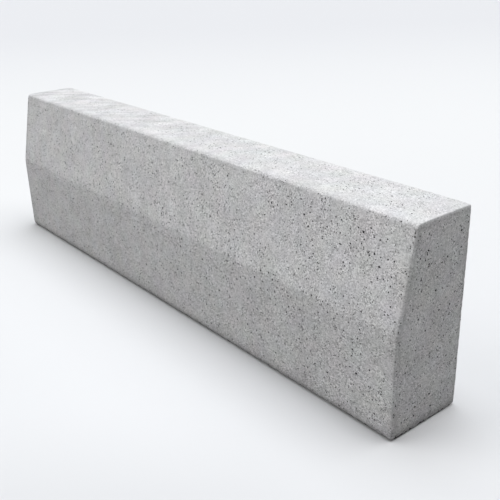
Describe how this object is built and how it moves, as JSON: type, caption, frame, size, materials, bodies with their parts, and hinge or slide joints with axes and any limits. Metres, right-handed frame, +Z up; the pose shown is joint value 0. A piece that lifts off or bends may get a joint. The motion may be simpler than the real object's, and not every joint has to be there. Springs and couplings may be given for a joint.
{
  "type": "concrete kerb stone",
  "caption": "Half-battered precast concrete kerb stone: an upright foot below a road face that leans back to a narrow level top, with square ends for butting.",
  "frame": {"origin": "centre of the bed, the face that the kerb stands on", "axes": "+X along the kerb, +Y from the road face to the upright back, +Z up"},
  "size_m": [1, 0.125, 0.275],
  "materials": {
    "concrete": "matt pressed concrete, fine sandy grain with small open pits"
  },
  "bodies": {
    "root": {"kerb_stone": "concrete"}
  },
  "joints": []
}
